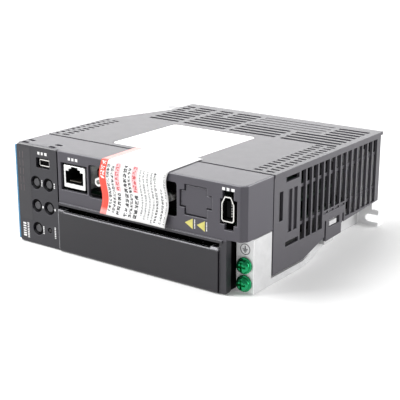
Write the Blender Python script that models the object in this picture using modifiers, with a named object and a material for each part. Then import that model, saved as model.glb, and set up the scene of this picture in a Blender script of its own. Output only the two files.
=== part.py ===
"""Servo drive lying on its left side, with its front panel facing -Y.

The drive's top end points to -X and its right side faces up.  Helper functions take
millimetres in the drive's own grid: x from the middle of the body, y from the front
panel's plane towards the back, z from the surface that the drive lies on.
"""
import math

import bmesh
import bpy
from mathutils import Matrix, Vector

MM = 0.001
GAP = 0.3                       # clearance between pieces that touch

# Driving dimensions, in millimetres
HALF_LENGTH = 77.4              # half of the front panel's long side
HEIGHT = 57.5                   # top of the body above the surface it lies on
WALL = 1.8                      # plastic wall thickness
FRONT_REACH = -3.5              # the hanging tag's lower edge, the foremost point
BACK_FACE = 147.0               # mounting face of the back plate
SEAM_Y = 26.5                   # joint between front case and rear housing
SEAM_HALF = 0.6
SIDE_X = 76.9                   # side walls of the rear housing, under its lid
LID_LOW = 55.6
HOUSING_BACK = 144.6
LID_BACK = 146.0

BASE_LAYER = 3.5                # heat sink edge that shows under the side walls
BASE_TOP = 9.0                  # top of the heat sink's slab
FIN_PITCH = 8.0
FIN_CHANNEL = 5.0
PLATE_FRONT = 142.0             # front of the mounting lugs
LUG_REACH = 79.0
LUG_SLOT_HALF = 2.3             # half width of the open slots, for M4 screws
LUG_SLOT_X = 72.8
LOWER_SLOT_Z = 4.7
UPPER_SLOT_Z = 50.7
ARM_LEFT = 67.2                 # grounding arm beside the front case
ARM_FRONT = 8.4
PILLAR_RIGHT = 66.8             # right side of the pillar beside the terminal cover
ARM_TOP = 28.7
GROUND_SCREW_X = 72.4
GROUND_SCREW_Z = {"upper": 14.6, "lower": 5.2}

PANEL_SPLIT = -46.3             # wall behind the joint of control panel and case front
PANEL_RIGHT = -45.7
CASE_LEFT = -44.7               # edge of the case front beside the control panel
PANEL_THICKNESS = 2.0
BUTTONS = {
    "mode": (-62.2, 36.5),
    "shift": (-62.2, 23.0),
    "up": (-52.7, 36.5),
    "down": (-52.7, 23.0),
    "set": (-62.2, 9.5),
}
BUTTON_RADIUS = 2.7
BUTTON_HOLE_RADIUS = 3.9
BUTTON_TRAVEL = 0.5
LED_PLACE = (-53.0, 10.0)
LED_RADIUS = 1.3

COVER_LEFT = -45.2
COVER_RIGHT = 62.4
COVER_TOP = 23.4
HINGE_Y = 4.0                   # axis of the terminal cover's pins
HINGE_Z = 5.0
HINGE_RADIUS = 5.0
PIN_RADIUS = 1.2
BAY_LEFT = COVER_LEFT - 0.4
BAY_RIGHT = COVER_RIGHT + 0.4
BAY_TOP = 26.7

POLE_PITCH = 8.0
BLOCK_POLES = {"input": (-38.0, 5), "brake": (2.0, 4), "motor": (34.0, 3)}
BLOCK_FRONT = 9.6
BLOCK_BACK = 22.6

VENT_FIRST_Y = 53.2             # side vents: front edge of the first column
VENT_PITCH = 6.3
VENT_OPEN = 4.9
VENT_COLUMNS = 14
SNAP_COLUMNS = range(4, 8)      # columns above the snap tab
CROSS_BARS = [(44.4, 46.2), (23.8, 25.5)]  # heights of the bars behind the vent ribs
TOP_VENT_FIRST_Y = 97.0
TOP_VENT_PITCH = 5.65
TOP_VENT_OPEN = 3.0
SMALL_VENT_PITCH = 4.4
SMALL_VENT_OPEN = 2.1

BOARD_THICKNESS = 1.6
CONTROL_BOARD_Z = 35.0
POWER_BOARD_Z = 14.0
BOSS_PLACES = [(-52.0, 34.0), (52.0, 34.0), (-52.0, 132.0), (52.0, 132.0)]
FAN_Y = 56.0
FAN_Z = 30.5
FAN_LEFT = -74.6
FAN_DEPTH = 10.0
FAN_SIZE = 40.0
FAN_DUCT_RADIUS = 18.6
FAN_BLADE_RADIUS = 17.9
FAN_HUB_RADIUS = 9.0
FAN_BLADES = 7
CAPACITOR_RADIUS = 12.2
CAPACITOR_X = [-26.0, 0.5, 27.0]
CAPACITOR_Y = 120.0

MIDDLE_Y = (FRONT_REACH + BACK_FACE) / 2

for leftover in list(bpy.data.objects):
    bpy.data.objects.remove(leftover)

parts = bpy.data.collections.new("servo_drive")
tools = bpy.data.collections.new("servo_drive_cutters")
bpy.context.scene.collection.children.link(parts)
bpy.context.scene.collection.children.link(tools)


# ---------------------------------------------------------------- materials

def finish(name, colour, roughness, metallic=0.0):
    """A Principled material."""
    made = bpy.data.materials.new(name)
    made.use_nodes = True
    shader = made.node_tree.nodes["Principled BSDF"]
    shader.inputs["Base Color"].default_value = (*colour, 1.0)
    shader.inputs["Roughness"].default_value = roughness
    shader.inputs["Metallic"].default_value = metallic
    made.diffuse_color = (*colour, 1.0)
    return made


CASE_GREY = (0.10, 0.10, 0.11)
COVER_GREY = (0.07, 0.07, 0.08)
BLACK = (0.015, 0.015, 0.018)
SILVER = (0.75, 0.75, 0.76)
BOARD_GREEN = (0.03, 0.16, 0.07)


# ---------------------------------------------------------------- mesh helpers

def spot(x, y, z):
    """World position, in metres, of a point of the drive's grid."""
    return Vector((x, y - MIDDLE_Y, z)) * MM


def mesh_from(bm, name):
    mesh = bpy.data.meshes.new(name)
    bm.to_mesh(mesh)
    bm.free()
    return mesh


def boxes(name, extents):
    """One mesh of boxes, each given by its lowest and its highest corner."""
    bm = bmesh.new()
    for low, high in extents:
        middle = spot(*[(a + b) / 2 for a, b in zip(low, high)])
        size = [(b - a) * MM for a, b in zip(low, high)]
        place = Matrix.Translation(middle) @ Matrix.Diagonal((*size, 1.0))
        bmesh.ops.create_cube(bm, size=1.0, matrix=place)
    return mesh_from(bm, name)


def turn_to(axis):
    """Rotation that takes local Z onto an axis, and local X, Y onto an outline's axes."""
    columns = {
        "X": (Vector((0, 1, 0)), Vector((0, 0, 1)), Vector((1, 0, 0))),
        "Y": (Vector((1, 0, 0)), Vector((0, 0, 1)), Vector((0, -1, 0))),
        "Z": (Vector((1, 0, 0)), Vector((0, 1, 0)), Vector((0, 0, 1))),
    }[axis]
    return Matrix(columns).transposed().to_4x4()


def along(axis, centre, distance):
    """Point on a line parallel to an axis; centre holds the other two coordinates."""
    first, second = centre
    return {
        "X": (distance, first, second),
        "Y": (first, distance, second),
        "Z": (first, second, distance),
    }[axis]


def rods(name, axis, start, end, centres, radius, sides=24):
    """One mesh of equal cylinders."""
    bm = bmesh.new()
    for centre in centres:
        middle = spot(*along(axis, centre, (start + end) / 2))
        bmesh.ops.create_cone(
            bm, cap_ends=True, segments=sides, depth=abs(end - start) * MM,
            radius1=radius * MM, radius2=radius * MM,
            matrix=Matrix.Translation(middle) @ turn_to(axis))
    return mesh_from(bm, name)


def prism(name, outlines, axis, start, end):
    """Solid with a flat outline, and outlines of holes after it, drawn across an axis.

    An outline across X holds (y, z) points, across Y (x, z) and across Z (x, y).
    """
    curve = bpy.data.curves.new(name, "CURVE")
    curve.dimensions = "2D"
    curve.fill_mode = "BOTH"
    curve.extrude = abs(end - start) / 2 * MM
    for outline in outlines:
        spline = curve.splines.new("POLY")
        spline.points.add(len(outline) - 1)
        for point, (first, second) in zip(spline.points, outline):
            point.co = (first * MM, second * MM, 0.0, 1.0)
        spline.use_cyclic_u = True
    holder = bpy.data.objects.new(name, curve)
    tools.objects.link(holder)
    holder.matrix_world = Matrix.Translation(
        spot(*along(axis, (0.0, 0.0), (start + end) / 2))) @ turn_to(axis)
    bpy.context.view_layer.update()
    evaluated = holder.evaluated_get(bpy.context.evaluated_depsgraph_get())
    mesh = bpy.data.meshes.new_from_object(evaluated)
    mesh.transform(holder.matrix_world)
    bpy.data.objects.remove(holder)
    bpy.data.curves.remove(curve)
    bm = bmesh.new()
    bm.from_mesh(mesh)
    bmesh.ops.remove_doubles(bm, verts=bm.verts, dist=1e-6)
    bmesh.ops.recalc_face_normals(bm, faces=bm.faces)
    bm.to_mesh(mesh)
    bm.free()
    mesh.materials.clear()
    return mesh


def turned(name, profile, axis, centre, steps=24):
    """Solid of revolution; profile holds (radius, distance along the axis) points."""
    ordered = sorted(profile, key=lambda point: point[1], reverse=axis != "Y")
    bm = bmesh.new()
    corners = []
    for radius, distance in ordered:
        height = -distance if axis == "Y" else distance
        corners.append(bm.verts.new((radius * MM, 0.0, height * MM)))
    for first, second in zip(corners, corners[1:]):
        bm.edges.new((first, second))
    holder = bpy.data.objects.new(name, mesh_from(bm, name))
    tools.objects.link(holder)
    screw = holder.modifiers.new("turn", "SCREW")
    screw.axis = "Z"
    screw.steps = steps
    screw.render_steps = steps
    screw.use_merge_vertices = True
    screw.merge_threshold = 0.00001
    holder.matrix_world = Matrix.Translation(spot(*along(axis, centre, 0.0))) @ turn_to(axis)
    bpy.context.view_layer.update()
    evaluated = holder.evaluated_get(bpy.context.evaluated_depsgraph_get())
    mesh = bpy.data.meshes.new_from_object(evaluated)
    mesh.transform(holder.matrix_world)
    bpy.data.objects.remove(holder)
    bm = bmesh.new()
    bm.from_mesh(mesh)
    bmesh.ops.recalc_face_normals(bm, faces=bm.faces)
    bm.to_mesh(mesh)
    bm.free()
    return mesh


def part(name, mesh, material, origin=None, smooth=False):
    """A named piece; origin moves its pivot to a point of the drive's grid."""
    made = bpy.data.objects.new(name, mesh)
    parts.objects.link(made)
    if origin is not None:
        pivot = spot(*origin)
        mesh.transform(Matrix.Translation(-pivot))
        made.location = pivot
    mesh.materials.append(material)
    if smooth:
        mesh.shade_smooth()
        mesh.set_sharp_from_angle(angle=math.radians(35))
    return made


def combine(piece, mesh, operation):
    """Adds a Boolean with a hidden tool object."""
    tool = bpy.data.objects.new(mesh.name, mesh)
    tools.objects.link(tool)
    tool.hide_render = True
    tool.display_type = "WIRE"
    boolean = piece.modifiers.new(mesh.name, "BOOLEAN")
    boolean.operation = operation
    boolean.object = tool


def cut(piece, mesh):
    combine(piece, mesh, "DIFFERENCE")


def join(piece, mesh):
    combine(piece, mesh, "UNION")


def soften(piece, width, segments=2, angle=40):
    """Rounds the edges that the piece has so far."""
    bevel = piece.modifiers.new("edges", "BEVEL")
    bevel.width = width * MM
    bevel.segments = segments
    bevel.limit_method = "ANGLE"
    bevel.angle_limit = math.radians(angle)


def arc(centre, radius, start, end, steps):
    """Points along an arc, from a start to an end angle in degrees."""
    points = []
    for step in range(steps + 1):
        angle = math.radians(start + (end - start) * step / steps)
        points.append((centre[0] + radius * math.cos(angle), centre[1] + radius * math.sin(angle)))
    return points


def circle(centre, radius, sides=24):
    return arc(centre, radius, 0.0, 360.0, sides)[:-1]


def rounded(low, high, radius, steps=3):
    """Rectangle with round corners, counter-clockwise from its lower left corner."""
    corners = [
        ((low[0] + radius, low[1] + radius), 180.0),
        ((high[0] - radius, low[1] + radius), 270.0),
        ((high[0] - radius, high[1] - radius), 0.0),
        ((low[0] + radius, high[1] - radius), 90.0),
    ]
    points = []
    for centre, start in corners:
        points += arc(centre, radius, start, start + 90.0, steps)
    return points


def inset(outline, distance):
    """A counter-clockwise outline moved inwards, or outwards by a negative distance."""
    moved = []
    count = len(outline)
    for index in range(count):
        before = Vector(outline[index - 1])
        here = Vector(outline[index])
        after = Vector(outline[(index + 1) % count])
        first = (here - before).normalized()
        second = (after - here).normalized()
        first_normal = Vector((-first.y, first.x))
        second_normal = Vector((-second.y, second.x))
        middle = (first_normal + second_normal).normalized()
        moved.append(tuple(here + middle * distance / middle.dot(first_normal)))
    return moved


# ---------------------------------------------------------------- shared outlines

def housing_plan(back):
    """Plan of the rear housing's upper storey, with one corner cut for the upper lug."""
    front = SEAM_Y + SEAM_HALF
    return [
        (-SIDE_X, front), (SIDE_X, front), (SIDE_X, back),
        (-61.0, back), (-61.0, 123.0), (-SIDE_X, 77.0),
    ]


def knockout_outline(shrink):
    """Blank cover with a latch tab on each side."""
    return inset([
        (41.3, 37.2), (55.1, 37.2), (55.1, 42.2), (58.1, 42.2), (58.1, 49.5), (55.1, 49.5),
        (55.1, 53.2), (41.3, 53.2), (41.3, 50.1), (38.3, 50.1), (38.3, 41.0), (41.3, 41.0),
    ], shrink)


def vent_columns():
    for column in range(VENT_COLUMNS):
        front = VENT_FIRST_Y + VENT_PITCH * column
        yield column, front, front + VENT_OPEN


# ---------------------------------------------------------------- chassis

def heat_sink():
    """Cast aluminium: finned slab, back plate with lugs, and the grounding arm."""
    slab = prism("heat_sink", [[
        (-77.1, 27.6), (HALF_LENGTH, 27.6), (HALF_LENGTH, 57.0), (66.0, 106.0), (66.0, 144.0),
        (-77.1, 144.0),
    ]], "Z", 0.0, BASE_TOP)
    piece = part("heat_sink", slab, finish("cast_aluminium", SILVER, 0.45, 1.0))
    join(piece, boxes("grounding_arm", [
        ((ARM_LEFT, ARM_FRONT, 0.0), (HALF_LENGTH, 34.0, ARM_TOP))]))
    join(piece, prism("back_plate", [[
        (-74.7, 0.0), (LUG_REACH, 0.0), (LUG_REACH, 10.0), (74.7, 10.0), (74.7, 55.3),
        (-LUG_REACH, 55.3), (-LUG_REACH, 46.0), (-58.8, 46.0), (-58.8, 33.9), (-74.7, 33.9),
    ]], "Y", PLATE_FRONT, BACK_FACE))
    for side in (-1, 1):
        near, far = sorted((side * 64.0, side * 74.6))
        hook_near, hook_far = sorted((side * 74.0, side * 76.4))
        join(piece, boxes(f"catch_rib_{side}", [((near, 84.5, 4.0), (far, 94.9, 18.6))]))
        join(piece, boxes(f"catch_{side}", [((hook_near, 86.2, 15.0), (hook_far, 94.2, 17.6))]))
    join(piece, rods("bosses", "Z", BASE_TOP - 1, POWER_BOARD_Z - GAP, BOSS_PLACES, 3.2, 16))
    cut(piece, boxes("wall_seats", [
        ((74.7, SEAM_Y - 1.5, BASE_LAYER), (80.0, 72.0, 30.0)),
        ((-80.0, 20.0, BASE_LAYER), (-74.8, 141.0, BASE_TOP + 1)),
    ]))
    channels = []
    for index in range(12):
        start = 35.0 + FIN_PITCH * index
        channels.append(((-70.0, start, -1.0), (58.0, start + FIN_CHANNEL, 6.0)))
    cut(piece, boxes("fin_channels", channels))
    cut(piece, prism("lower_slot", [
        arc((LUG_SLOT_X, LOWER_SLOT_Z), LUG_SLOT_HALF, 90.0, 270.0, 8)
        + [(LUG_REACH + 1, LOWER_SLOT_Z - LUG_SLOT_HALF), (LUG_REACH + 1, LOWER_SLOT_Z + LUG_SLOT_HALF)]
    ], "Y", PLATE_FRONT - 1, BACK_FACE + 1))
    cut(piece, prism("upper_slot", [
        arc((-LUG_SLOT_X, UPPER_SLOT_Z), LUG_SLOT_HALF, -90.0, 90.0, 8)
        + [(-LUG_REACH - 1, UPPER_SLOT_Z + LUG_SLOT_HALF), (-LUG_REACH - 1, UPPER_SLOT_Z - LUG_SLOT_HALF)]
    ], "Y", PLATE_FRONT - 1, BACK_FACE + 1))
    cut(piece, rods("ground_holes", "Y", ARM_FRONT - 1, 18.0,
                    [(GROUND_SCREW_X, z) for z in GROUND_SCREW_Z.values()], 2.3, 16))
    cut(piece, rods("boss_holes", "Z", 7.0, POWER_BOARD_Z + 1, BOSS_PLACES, 1.7, 12))


def rear_housing():
    """Vented plastic shell that slides over the heat sink."""
    front = SEAM_Y + SEAM_HALF
    shell = boxes("rear_housing", [((-SIDE_X, front, 3.8), (SIDE_X, HOUSING_BACK, 36.0))])
    piece = part("rear_housing", shell, finish("housing_plastic", CASE_GREY, 0.5))
    join(piece, prism("upper_storey", [housing_plan(HOUSING_BACK)], "Z", 35.0, 56.5))
    lid = [(x * HALF_LENGTH / SIDE_X if abs(x) > 70 else x - 0.5, y) for x, y in housing_plan(LID_BACK)]
    join(piece, prism("lid", [lid], "Z", LID_LOW, HEIGHT))
    inner_low = SIDE_X - WALL
    cut(piece, boxes("lower_cavity", [((-inner_low, 20.0, 2.0), (inner_low, 150.0, 34.2))]))
    upper_cavity = inset(housing_plan(160.0), WALL)
    upper_cavity = [(x, 20.0 if y < 50 else y) for x, y in upper_cavity]
    cut(piece, prism("upper_cavity", [upper_cavity], "Z", 34.0, HEIGHT - WALL))
    join(piece, boxes("tongue", [((-74.7, 23.6, 31.0), (74.7, 28.0, 55.3))]))
    join(piece, boxes("tongue_root", [((-75.6, 27.4, 31.0), (75.6, 30.5, 56.2))]))
    cut(piece, boxes("tongue_inside", [((-73.5, 23.0, 20.0), (73.5, 31.0, 54.0))]))
    lower_edge = [
        (20.0, -1.0), (150.0, -1.0), (150.0, 16.0), (102.1, 13.6), (102.1, 19.0), (100.3, 19.0),
        (100.3, 13.5), (99.3, 13.5), (99.3, 7.8), (81.8, 7.2), (81.8, 19.3), (80.1, 19.3),
        (80.1, 10.2), (57.8, 4.2), (20.0, 4.2),
    ]
    cut(piece, prism("lower_edge", [lower_edge], "X", -80.0, 80.0))
    cut(piece, boxes("lug_notch", [((-63.0, 141.6, 44.0), (-58.5, 150.0, 55.6))]))
    cut(piece, prism("label_pocket", [rounded((-33.5, 31.0), (26.0, 90.0), 3.3)], "Z", 56.9, 58.5))
    cut(piece, boxes("side_vents", side_vents()))
    bars = [(CROSS_BARS[0], 52.0, 141.0), (CROSS_BARS[1], 52.0, 78.0)]
    join(piece, boxes("cross_bars", [
        ((74.9, y_low, z_low), (75.7, y_high, z_high)) for (z_low, z_high), y_low, y_high in bars]
        + [((74.9, 103.0, CROSS_BARS[1][0]), (75.7, 141.0, CROSS_BARS[1][1]))]))
    cut(piece, boxes("top_vents", top_vents()))


def side_vents():
    """Openings in the two end walls of the housing, and the blind grooves beside them."""
    cutters = []

    def through(side, y_low, y_high, z_low, z_high, depth=4.0):
        near, far = sorted((side * (SIDE_X - depth), side * (SIDE_X + 1)))
        cutters.append(((near, y_low, z_low), (far, y_high, z_high)))

    for column, low, high in vent_columns():
        if column in SNAP_COLUMNS:
            through(1, low, high, CROSS_BARS[1][1], 53.9)
            through(1, low, high, 23.4, 24.8, depth=0.7)
        else:
            through(1, low, high, 16.0, 53.9)
            through(-1, low, high, 18.0, 25.0)
        through(-1, low, high, 26.4, 33.0)
        if high < 75.0:
            through(-1, low, high, 37.8, 45.6)
            through(-1, low, high, 47.3, 54.4)
    for side in (1, -1):
        through(side, 84.9, 96.9, 14.6, 19.0)
    through(1, 32.3, 35.7, 31.5, 47.1)
    through(1, 38.4, 51.3, 50.9, 53.6)
    through(1, 38.7, 51.6, 16.2, 18.9)
    through(1, 40.9, 44.6, 23.5, 46.6, depth=1.2)
    through(1, 46.1, 49.8, 23.5, 46.6, depth=1.2)
    for front in (33.6, 39.9, 46.2):
        through(-1, front, front + VENT_OPEN, 18.0, 33.0)
        through(-1, front, front + VENT_OPEN, 37.8, 54.4)
    return cutters


def top_vents():
    """Openings in the lid: long slots over the capacitors and short ones by the ends."""
    cutters = []

    def through(x_low, x_high, y_low, width, depth=4.0):
        cutters.append(((x_low, y_low, HEIGHT - depth), (x_high, y_low + width, HEIGHT + 1)))

    wide = [(-58.0, -36.0), (-32.0, -1.2)]
    for row in range(8):
        front = TOP_VENT_FIRST_Y + TOP_VENT_PITCH * row - TOP_VENT_OPEN / 2
        if row < 4:
            spans = wide + [(2.0, 33.5), (37.2, 73.2)]
        elif row == 4:
            spans = wide + [(53.4, 73.2)]
        else:
            spans = [(-58.8, -52.2), (-49.0, -36.0), (-32.0, -22.4), (-19.0, -1.2), (53.4, 73.2)]
        for low, high in spans:
            through(low, high, front, TOP_VENT_OPEN)
        if row >= 4:
            through(1.8, 50.6, front, TOP_VENT_OPEN, depth=0.25)
    for low, high, rows in ((-75.6, -72.6, 11), (-70.2, -65.2, 11), (62.2, 67.4, 15), (69.6, 74.6, 15)):
        for row in range(rows):
            through(low, high, 31.0 + SMALL_VENT_PITCH * row - SMALL_VENT_OPEN / 2, SMALL_VENT_OPEN)
    return cutters


def front_case():
    """Plastic front: connector wall, terminal bay and the seat of the control panel."""
    block = boxes("front_case", [
        ((-HALF_LENGTH, 0.0, 0.0), (HALF_LENGTH, SEAM_Y - SEAM_HALF, HEIGHT))])
    piece = part("front_case", block, finish("case_plastic", CASE_GREY, 0.5))
    cut(piece, boxes("panel_seat", [
        ((-80.0, -1.0, -1.0), (PANEL_RIGHT + 0.2, PANEL_THICKNESS + GAP, HEIGHT + 1))]))
    cut(piece, prism("corner_chamfer", [[(74.2, -1.0), (79.0, -1.0), (79.0, 5.0)]],
                     "Z", -1.0, HEIGHT + 1))
    soften(piece, 0.6)
    cut(piece, prism("arm_room", [[
        (65.3, -1.0), (PILLAR_RIGHT, 1.2), (PILLAR_RIGHT, ARM_TOP + 0.4), (80.0, ARM_TOP + 0.4),
        (80.0, -1.0),
    ]], "Y", -1.0, SEAM_Y + 1))
    join(piece, boxes("sill", [((CASE_LEFT, -0.7, BAY_TOP), (64.5, 1.0, 28.2))]))
    for name, low, high in (
        ("connector_cavity", (PANEL_SPLIT, WALL, 28.7), (62.0, 30.0, 55.7)),
        ("corner_cavity", (61.9, WALL, 31.0), (75.2, 30.0, 55.7)),
        ("keypad_cavity", (-75.4, 4.2, 28.6), (PANEL_SPLIT + 0.1, 30.0, 55.7)),
    ):
        cut(piece, boxes(name, [(low, high)]))
    cut(piece, boxes("left_cavity", [((-75.4, 4.2, 2.0), (-47.3, 30.0, 30.0))]))
    cut(piece, boxes("panel_window", [((-73.6, 2.0, 4.2), (-48.4, 5.0, 53.6))]))
    cut(piece, rods("hinge_holes", "X", -48.0, 64.0, [(HINGE_Y, HINGE_Z)], PIN_RADIUS + GAP, 16))
    cut(piece, boxes("rj45_opening", [((-42.7, -2.0, 35.9), (-23.6, 3.0, 51.4))]))
    cut(piece, prism("dsub_opening", [rounded((-22.5, 35.0), (36.6, 53.0), 1.4)], "Y", -2.0, 3.0))
    cut(piece, prism("knockout_opening", [knockout_outline(0.0)], "Y", -2.0, 3.0))
    cut(piece, prism("encoder_opening", [[
        (65.6, 34.0), (71.0, 34.0), (71.0, 36.8), (73.0, 36.8), (73.0, 49.6), (71.0, 49.6),
        (71.0, 54.0), (64.3, 54.0), (64.3, 49.6), (62.9, 49.6), (62.9, 36.8), (65.6, 36.8),
    ]], "Y", -2.0, 3.0))
    cut(piece, boxes("snap_slots", [
        ((x - 2.5, y - 1.3, 55.0), (x + 2.5, y + 1.3, HEIGHT + 1))
        for x in (-73.0, -52.3) for y in (4.2, 9.2)]))
    cut(piece, boxes("pillar_groove", [((64.9, 4.4, -2.0), (68.0, SEAM_Y + 2, 28.6))]))
    cut(piece, boxes("panel_joint", [((-46.5, -1.5, 27.2), (CASE_LEFT, 1.5, HEIGHT + 2))]))
    cut(piece, boxes("terminal_bay", [((BAY_LEFT, -2.0, 2.0), (BAY_RIGHT, 30.0, BAY_TOP))]))
    cut(piece, boxes("hinge_room", [((BAY_LEFT, -3.0, -1.5), (BAY_RIGHT, HINGE_Y + 5.4, 2.3))]))


# ---------------------------------------------------------------- control panel

def control_panel():
    """Left part of the front, with the display, the keys and the USB opening."""
    holes = [
        rounded((-75.0, 14.2), (-66.2, 55.4), 1.0, 2),
        rounded((-61.4, 45.4), (-51.2, 51.3), 0.5, 1),
        circle(LED_PLACE, LED_RADIUS + GAP, 16),
    ]
    holes += [circle(place, BUTTON_HOLE_RADIUS) for place in BUTTONS.values()]
    plate = prism("control_panel", [rounded((-76.2, 0.3), (PANEL_RIGHT, 57.2), 1.2)] + holes,
                  "Y", 0.0, PANEL_THICKNESS)
    part("control_panel", plate, finish("panel_plastic", CASE_GREY, 0.45))
    strip = boxes("accent_strip", [((-77.9, 0.1, 1.0), (-76.5, 2.0, 56.4))])
    soften(part("accent_strip", strip, finish("accent_blue", (0.12, 0.40, 0.70), 0.3)), 0.5)
    window = prism("display_window", [rounded((-74.7, 14.5), (-66.5, 55.1), 0.8, 2)], "Y", 0.2, 1.2)
    part("display_window", window, finish("smoked_window", BLACK, 0.1))
    module = boxes("display_module", [((-73.2, 1.6, 17.0), (-67.0, 8.7, 53.2))])
    part("display_module", module, finish("display_black", BLACK, 0.4))
    board = boxes("keypad_board", [((-73.2, 9.0, 4.6), (-48.8, 9.0 + BOARD_THICKNESS, 53.2))])
    part("keypad_board", board, finish("keypad_laminate", BOARD_GREEN, 0.5))
    lens = turned("charge_led", [
        (0.0, 0.2), (0.9, 0.3), (LED_RADIUS, 0.8), (LED_RADIUS, 8.7), (0.0, 8.7),
    ], "Y", LED_PLACE, 12)
    part("charge_led", lens, finish("led_lens", (0.5, 0.04, 0.03), 0.2), smooth=True)
    cap_finish = finish("key_rubber", CASE_GREY, 0.6)
    switch_finish = finish("switch_black", BLACK, 0.5)
    for name, place in BUTTONS.items():
        key_button(name, place, cap_finish)
        x, z = place
        switch = boxes(f"{name}_switch", [((x - 3.0, 5.7, z - 3.0), (x + 3.0, 8.7, z + 3.0))])
        part(f"{name}_switch", switch, switch_finish)


def key_button(name, place, material):
    """Round key with a flange behind the panel and a stem that meets its switch."""
    stem_end = 5.7 - GAP / 3 - BUTTON_TRAVEL
    mesh = turned(f"{name}_button", [
        (0.0, 0.55), (BUTTON_RADIUS - 0.5, 0.6), (BUTTON_RADIUS, 1.0), (BUTTON_RADIUS, 2.35),
        (4.3, 2.4), (4.3, 3.2), (1.2, 3.25), (1.2, stem_end - 0.01), (0.0, stem_end),
    ], "Y", place, 20)
    part(f"{name}_button", mesh, material, origin=(place[0], 0.55, place[1]), smooth=True)


# ---------------------------------------------------------------- connectors

def usb_socket():
    shell = prism("usb_socket", [[
        (-59.5, 46.3), (-53.1, 46.3), (-52.4, 47.1), (-52.4, 50.1), (-60.2, 50.1), (-60.2, 47.1),
    ]], "Y", 1.6, 8.7)
    piece = part("usb_socket", shell, finish("usb_shell", SILVER, 0.3, 1.0))
    cut(piece, prism("usb_mouth", [[
        (-59.3, 46.8), (-53.3, 46.8), (-52.9, 47.3), (-52.9, 49.6), (-59.7, 49.6), (-59.7, 47.3),
    ]], "Y", 1.0, 7.5))
    join(piece, boxes("usb_tongue", [((-58.6, 2.4, 47.9), (-54.0, 7.8, 48.7))]))


def rj45_socket():
    body = boxes("rj45_socket", [((-41.6, 0.9, 37.3), (-25.9, 19.0, 50.2))])
    piece = part("rj45_socket", body, finish("rj45_shield", SILVER, 0.35, 1.0))
    soften(piece, 0.4, 1)
    cut(piece, prism("rj45_mouth", [[
        (-40.1, 40.0), (-27.3, 40.0), (-27.3, 46.9), (-29.4, 46.9), (-29.4, 48.3), (-31.2, 48.3),
        (-31.2, 49.4), (-36.0, 49.4), (-36.0, 48.3), (-37.8, 48.3), (-37.8, 46.9), (-40.1, 46.9),
    ]], "Y", -1.0, 13.0))


def dsub_outline(margin):
    """D-shaped shell: wide side up."""
    return inset([(-11.6, 39.6), (25.2, 39.6), (26.9, 48.4), (-13.3, 48.4)], margin)


def dsub_socket():
    flange = prism("dsub_socket", [rounded((-20.4, 37.6), (34.0, 50.4), 1.0, 2)], "Y", 4.9, 6.0)
    piece = part("dsub_socket", flange, finish("dsub_shell", BLACK, 0.4))
    join(piece, prism("dsub_nose", [dsub_outline(0.0)], "Y", 0.6, 5.4))
    join(piece, boxes("dsub_rear", [((-14.0, 5.5, 38.0), (27.6, 14.0, 50.0))]))
    cut(piece, prism("dsub_mouth", [dsub_outline(0.7)], "Y", -1.0, 4.6))
    join(piece, prism("dsub_tongue", [dsub_outline(1.9)], "Y", 1.2, 5.0))
    post_finish = finish("post_nickel", SILVER, 0.3, 1.0)
    for name, x in (("left", -16.7), ("right", 30.3)):
        post = rods(f"dsub_post_{name}", "Y", 1.5, 4.6, [(x, 44.0)], 2.7, 6)
        stud = part(f"dsub_post_{name}", post, post_finish)
        cut(stud, rods(f"dsub_thread_{name}", "Y", 0.5, 3.8, [(x, 44.0)], 1.3, 12))


def encoder_outline(margin):
    """Tall shell with two strongly chamfered upper corners."""
    return inset([
        (64.2, 37.9), (70.0, 37.9), (70.9, 39.0), (70.9, 47.1), (69.0, 50.9), (65.2, 50.9),
        (63.3, 47.2), (63.3, 39.0),
    ], margin)


def encoder_socket():
    shell = prism("encoder_socket", [encoder_outline(0.0)], "Y", 0.5, 14.0)
    piece = part("encoder_socket", shell, finish("encoder_shell", SILVER, 0.3, 1.0))
    cut(piece, prism("encoder_mouth", [encoder_outline(0.7)], "Y", -1.0, 12.0))
    join(piece, boxes("encoder_tongue", [((65.7, 2.5, 40.2), (68.0, 13.0, 48.0))]))


def knockout_cover():
    plate = prism("knockout_cover", [knockout_outline(0.5)], "Y", 0.7, 1.6)
    part("knockout_cover", plate, finish("knockout_plastic", CASE_GREY, 0.5))


def terminal_blocks():
    block_finish = finish("terminal_black", BLACK, 0.5)
    for name, (left, poles) in BLOCK_POLES.items():
        low = (left + 0.2, BLOCK_FRONT, 3.0)
        high = (left + POLE_PITCH * poles - 0.2, BLOCK_BACK, 24.2)
        piece = part(f"{name}_terminal_block", boxes(f"{name}_block", [(low, high)]), block_finish)
        entries = []
        levers = []
        for pole in range(poles):
            middle = left + POLE_PITCH * (pole + 0.5)
            entries.append(((middle - 2.8, BLOCK_FRONT - 1, 5.4), (middle + 2.8, 19.0, 11.0)))
            levers.append(((middle - 1.6, BLOCK_FRONT - 1, 14.0), (middle + 1.6, 13.0, 21.0)))
        cut(piece, boxes(f"{name}_wire_entries", entries))
        cut(piece, boxes(f"{name}_lever_slots", levers))


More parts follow.
